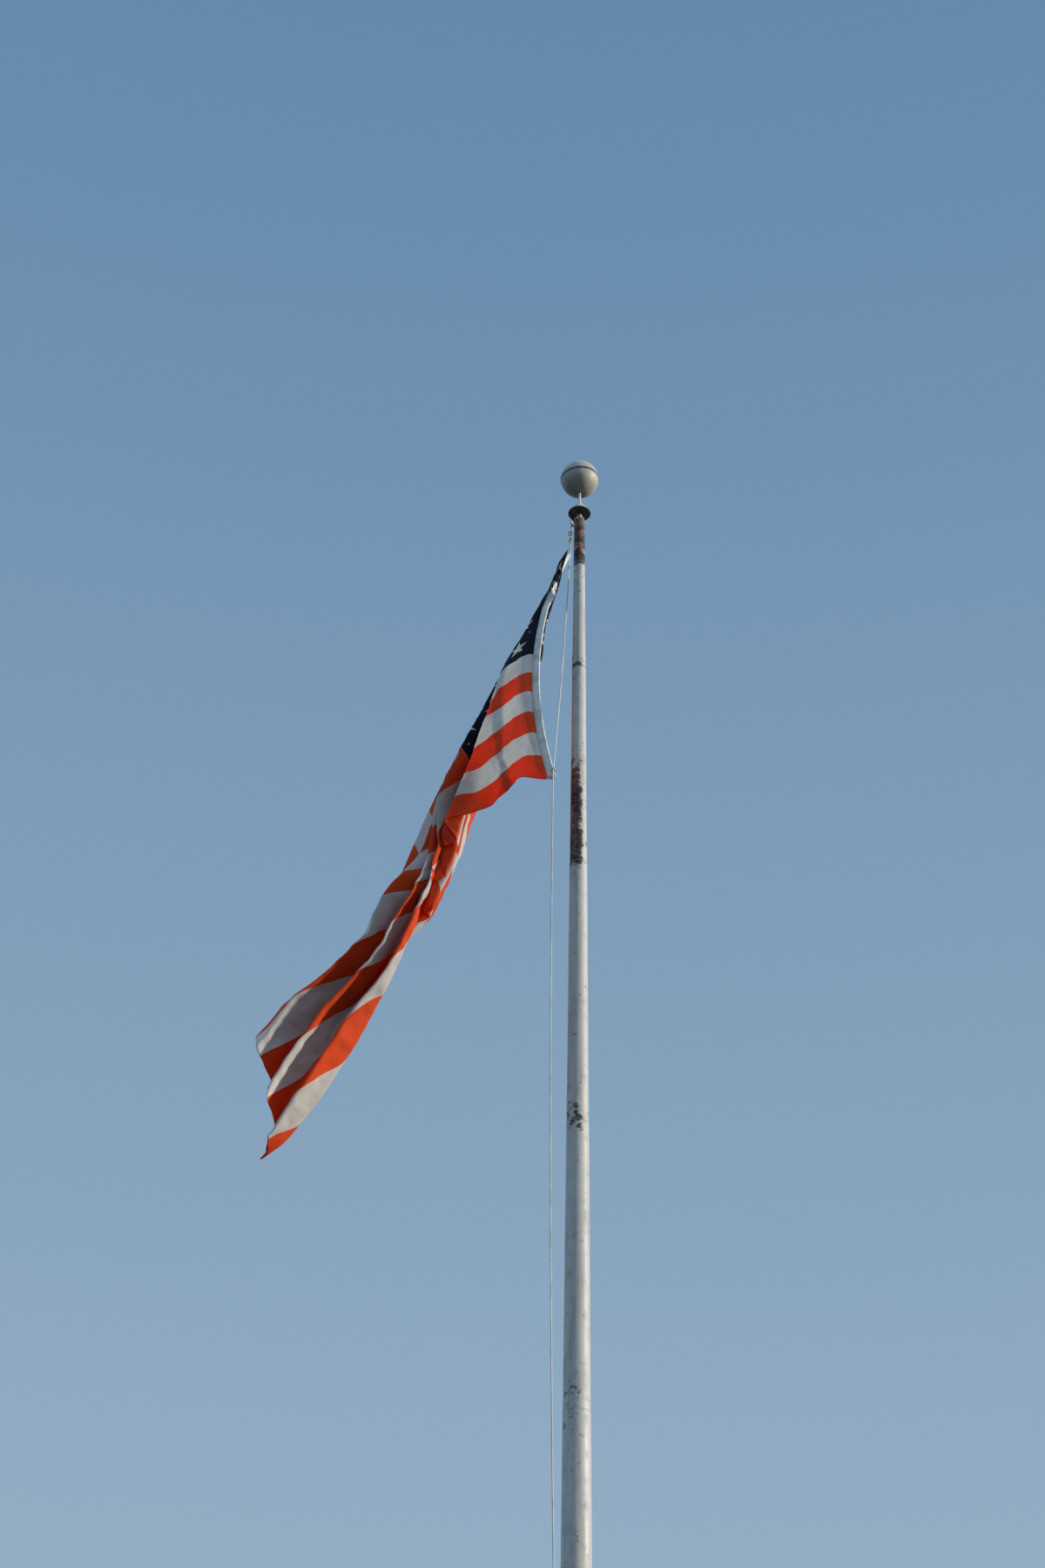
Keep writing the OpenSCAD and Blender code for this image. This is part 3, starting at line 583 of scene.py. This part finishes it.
cloth.collision_settings.self_distance_min = 0.010
cloth.collision_settings.use_collision = False
scene.gravity = 3 * hang.normalized()
cloth.point_cache.frame_start, cloth.point_cache.frame_end = 1, settle_frames
for step in range(1, settle_frames + 1):
    scene.frame_set(step)
settled = bpy.data.meshes.new_from_object(flag.evaluated_get(bpy.context.evaluated_depsgraph_get()))
flag.modifiers.clear()
flag.shape_key_clear()
flag.vertex_groups.clear()
flag.data = settled
scene.frame_set(1)
for face in flag.data.polygons:
    face.use_smooth = True
finer = flag.modifiers.new("finer", "SUBSURF")
finer.levels = finer.render_levels = 1
thick = flag.modifiers.new("thickness", "SOLIDIFY")
thick.thickness = 0.0015
thick.offset = 0

# The canton: eleven places across it and nine down, with a star on every
# second one. A star's edge is a straight line in polar coordinates.
stripes, canton_stripes, canton_share = 13, 7, 0.4
star_pitches = {"Across": fly * canton_share / 12, "Down": hoist * canton_stripes / stripes / 10}
star_radius, star_notch = 0.094, math.radians(72)
half_point = math.radians(36)
stars, stars_in, stars_out = new_group(
    "star_field", {"Across": 0.0, "Down": 0.0}, {"Mask": "NodeSocketFloat"})
star_maths = partial(maths, stars)
star_masks = []
for shift in (0.0, 1.0):
    offsets = []
    for way, pitch in star_pitches.items():
        cell = star_maths("ADD", star_maths("DIVIDE", stars_in[way], pitch), shift)
        wrapped = star_maths("WRAP", cell, 2.0, 0.0)
        offsets.append(star_maths("MULTIPLY", star_maths("SUBTRACT", wrapped, 1.0), pitch))
    squares = [star_maths("POWER", star_maths("ABSOLUTE", offset), 2.0) for offset in offsets]
    radius = star_maths("SQRT", star_maths("ADD", *squares))
    turn = star_maths("ARCTAN2", offsets[0], star_maths("MULTIPLY", offsets[1], -1.0))
    from_point = star_maths("ABSOLUTE", star_maths("WRAP", turn, half_point, -half_point))
    from_edge = star_maths("COSINE", star_maths("SUBTRACT", star_notch, from_point))
    edge = star_maths("MULTIPLY", radius, from_edge)
    star_masks.append(star_maths("LESS_THAN", edge, star_radius * math.cos(star_notch)))
stars.links.new(star_maths("MAXIMUM", *star_masks), stars_out["Mask"])

# The bunting: dyed cloth, faded and soiled in clouds, woven square and
# creased, which lets half of the light through.
red_dye, white_dye = (0.90, 0.115, 0.025), (0.80, 0.77, 0.73)
blue_dye, star_dye = (0.006, 0.011, 0.030), (0.74, 0.73, 0.70)
soil_tone, soil_share = (0.30, 0.25, 0.22), 0.28
light_through, weave_scale, weave_relief = 0.50, 160.0, 0.03
bunting, bunting_tree, bunting_skin = new_material("bunting", (0.6, 0.1, 0.05), 0.75)
bunting_skin.inputs["Specular IOR Level"].default_value = 0.2
cloth_maths, cloth_mix = partial(maths, bunting_tree), partial(mix_colour, bunting_tree)
cloth_uv = add(bunting_tree, "ShaderNodeUVMap", uv_map="cloth").outputs["UV"]
cloth_axes = add(bunting_tree, "ShaderNodeSeparateXYZ", {0: cloth_uv}).outputs
fly_share = cloth_axes["X"]
hoist_share = cloth_maths("SUBTRACT", 1.0, cloth_axes["Y"])
stripe_at = cloth_maths("MULTIPLY", hoist_share, float(stripes))


def within(value, middle, reach):
    """One where a value is closer to the middle than the reach."""
    away = cloth_maths("ABSOLUTE", cloth_maths("SUBTRACT", value, middle))
    return cloth_maths("LESS_THAN", away, reach)


odd_stripe = cloth_maths("GREATER_THAN", cloth_maths("MODULO", stripe_at, 2.0), 1.0)
in_canton = cloth_maths("MULTIPLY", cloth_maths("LESS_THAN", fly_share, canton_share),
                        cloth_maths("LESS_THAN", stripe_at, float(canton_stripes)))
star_places = {"Across": cloth_maths("MULTIPLY", fly_share, fly),
               "Down": cloth_maths("MULTIPLY", hoist_share, hoist)}
star_shapes = add(bunting_tree, "ShaderNodeGroup", star_places, node_tree=stars).outputs["Mask"]
star_room = cloth_maths("MULTIPLY", within(fly_share, canton_share / 2, 0.185),
                        within(stripe_at, canton_stripes / 2, 3.25))
canton = cloth_mix(cloth_maths("MULTIPLY", star_shapes, star_room), blue_dye, star_dye)
dyed = cloth_mix(in_canton, cloth_mix(odd_stripe, red_dye, white_dye), canton)
soil = soft_step(bunting_tree, noise(bunting_tree, cloth_uv, 7.0, 6.0, 0.65), 0.3, 0.75, 0.0, soil_share)
faded = cloth_mix(soil, dyed, soil_tone, "MULTIPLY")
cloth_place = stretched(bunting_tree, cloth_uv, (fly, hoist, 1))
warp, weft = (add(bunting_tree, "ShaderNodeTexWave", {"Vector": cloth_place, "Scale": weave_scale},
                  bands_direction=way).outputs["Fac"] for way in ("X", "Y"))
creases = noise(bunting_tree, cloth_place, 5.0, 4.0, 0.55, 0.6)
weave = cloth_maths("MULTIPLY", cloth_maths("ADD", warp, weft), weave_relief)
finish(bunting_tree, bunting_skin, faded, None, cloth_maths("ADD", weave, creases), 0.5, 0.012)
glow = add(bunting_tree, "ShaderNodeBsdfTranslucent", {"Color": faded})
bunting_mix = add(bunting_tree, "ShaderNodeMixShader",
                  {0: light_through, 1: bunting_skin.outputs[0], 2: glow.outputs[0]})
show(bunting_tree, bunting_mix.outputs[0])
flag.data.materials.append(bunting)
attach(flag, "truck")
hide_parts("flag_canton", "flag_red_stripes", "flag_white_stripes")


# HEADING
# A band of canvas sewn along the flag's hoist edge, with a rope in its outer
# fold that ends in a round thimble at the top and at the hem.
canvas_tone, soiled_canvas = (0.60, 0.59, 0.56), (0.40, 0.37, 0.33)
canvas, canvas_tree, canvas_skin = new_material("canvas", (0.6, 0.6, 0.6), 0.85)
canvas_place = object_place(canvas_tree)
canvas_soil = soft_step(canvas_tree, noise(canvas_tree, canvas_place, 14.0, 5.0), 0.4, 0.75)
canvas_colour = mix_colour(canvas_tree, canvas_soil, canvas_tone, soiled_canvas)
canvas_threads = noise(canvas_tree, canvas_place, 400.0, 2.0)
finish(canvas_tree, canvas_skin, canvas_colour, None, canvas_threads, 0.4, 0.001)

# Half of the band's section: how far out from the cloth, and half its thickness.
half_band = ((0, 0.0012), (0.030, 0.0022), (0.043, 0.0035), (0.050, 0.0070), (0.057, 0.0062), (0.060, 0.0))
band_section = half_band + tuple((out, -half) for out, half in half_band[-2::-1])
heading_rows = 90


def heading_frame(v):
    """The band's inner edge v of the way down, its way out, and the way through it."""
    step = 0.004
    near_top = max(0, 1 - 3 * v)
    way_down = (heading_point(v + step) - heading_point(v - step)).normalized()
    lead = (1 - v) * hang.normalized() + 1.5 * v * Vector((-1, 0.3, -0.2)) - Vector((0, 2.5 * near_top, 0))
    away = -lead.normalized()
    out = (away - away.dot(way_down) * way_down).normalized()
    return heading_point(v) + Vector((0.01, 0.05, 0)) * near_top, out, way_down.cross(out)


heading_bm = bmesh.new()
bmesh.ops.create_grid(heading_bm, x_segments=len(band_section), y_segments=heading_rows, size=0.5)
for vert in heading_bm.verts:
    place = round((vert.co.x + 0.5) * len(band_section)) % len(band_section)
    row = round((0.5 - vert.co.y) * heading_rows)
    inner_edge, out, through = heading_frame(row / heading_rows)
    vert.co = inner_edge + out * band_section[place][0] + through * band_section[place][1]
bmesh.ops.remove_doubles(heading_bm, verts=heading_bm.verts, dist=0.00001)
bmesh.ops.holes_fill(heading_bm, edges=[edge for edge in heading_bm.edges if edge.is_boundary])
bmesh.ops.recalc_face_normals(heading_bm, faces=heading_bm.faces)
heading = new_object("flag_heading_canvas", heading_bm, canvas)
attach(heading, "truck")
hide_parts("flag_heading")


# HALYARD
# A braided rope of 10 mm that runs over the sheave. The near fall goes down
# through both snaps to the near cleat, and the far fall behind the pole.
rope_radius, rope_circle = 0.0048, 0.0319
rope_tone, soiled_rope, strand_shade = (0.66, 0.66, 0.63), (0.42, 0.42, 0.41), (0.25, 0.25, 0.24)
rope_mat, rope_tree, rope_skin = new_material("rope", (0.6, 0.6, 0.57), 0.85)
rope_place = object_place(rope_tree)
rope_soil = soft_step(rope_tree, noise(rope_tree, rope_place, 6.0, 4.0), 0.35, 0.7)
strands = add(rope_tree, "ShaderNodeTexWave",
              {"Vector": rope_place, "Scale": 45.0, "Distortion": 1.5, "Detail": 1.0},
              bands_direction="DIAGONAL").outputs["Fac"]
rope_colour = mix_colour(rope_tree, maths(rope_tree, "MULTIPLY", strands, 0.35),
                         mix_colour(rope_tree, rope_soil, rope_tone, soiled_rope), strand_shade)
finish(rope_tree, rope_skin, rope_colour, None, strands, 0.6, 0.002)

sheave_turn, sheave_reach, sheave_height = math.radians(120), 0.07, 15.264
sheave_out = Vector((math.cos(sheave_turn), math.sin(sheave_turn), 0))
sheave_side = Vector((-math.sin(sheave_turn), math.cos(sheave_turn), 0))
sheave_middle = sheave_reach * sheave_out + Vector((0, 0, sheave_height))


def on_sheave(degrees):
    """A point of the rope's middle line on the sheave, from the flag's side over the top."""
    turn = math.radians(degrees)
    return sheave_middle + rope_circle * (math.cos(turn) * sheave_side + Vector((0, 0, math.sin(turn))))


def thimble(end):
    """The middle of the heading's thimble, at its top end 0 or its hem end 1."""
    inner_edge, out, through = heading_frame(end)
    way_down = out.cross(through)
    return inner_edge + out * 0.03 + (2 * end - 1) * way_down * 0.0164


def bowed(start, end, count, bow=(0, 0, 0)):
    """Points after the start up to the end, on a line that bows out by the bow."""
    shares = (k / count for k in range(1, count + 1))
    return [start.lerp(end, share) + 4 * share * (1 - share) * Vector(bow) for share in shares]


top_snap = thimble(0) + Vector((-0.007, -0.061, 0.038))
bottom_snap = thimble(1) + Vector((0.001, -0.067, 0.034))
foot, upper_horn, lower_horn = (0.1981, 2.25), (0.189, 1.469), (0.189, 1.331)
near_foot, near_horn, near_end = (Vector((0, -out, up)) for out, up in (foot, upper_horn, lower_horn))
far_foot, far_horn, far_end = (Vector((0, out, up)) for out, up in (foot, upper_horn, lower_horn))
over_sheave = [on_sheave(degrees) for degrees in range(0, 181, 15)]
below_sheave = over_sheave[0] - Vector((0, 0, 0.046))
near_route = [*bowed(over_sheave[0], below_sheave, 2), *bowed(below_sheave, top_snap, 4),
              *bowed(top_snap, bottom_snap, 16, (0.01, 0.005, 0)),
              *bowed(bottom_snap, near_foot, 30, (-0.058, -0.030, 0)),
              *bowed(near_foot, near_horn, 8), near_end]
far_route = [*over_sheave, *bowed(over_sheave[-1], far_foot, 30), *bowed(far_foot, far_horn, 8), far_end]
rope_route = [*reversed(near_route), *far_route]

rope_line = bpy.data.curves.new("rope_line", "CURVE")
rope_line.dimensions = "3D"
rope_line.bevel_depth = rope_radius
rope_line.bevel_resolution = 3
rope_line.use_fill_caps = True
rope_points = rope_line.splines.new("POLY").points
rope_points.add(len(rope_route) - 1)
for point, place in zip(rope_points, rope_route):
    point.co = (*place, 1)
rope_curve = bpy.data.objects.new("rope_line", rope_line)
scene.collection.objects.link(rope_curve)
rope_round = rope_curve.evaluated_get(bpy.context.evaluated_depsgraph_get())
rope_bm = bmesh.new()
rope_bm.from_mesh(bpy.data.meshes.new_from_object(rope_round))
bpy.data.objects.remove(rope_curve)
halyard = new_object("halyard", rope_bm, rope_mat)
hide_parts("halyard_flag_fall", "halyard_return_fall", "halyard_tails")
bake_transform(halyard)


# COLOUR VIEW
# Colours are shown through the Standard view transform.
scene.view_settings.view_transform = "Standard"
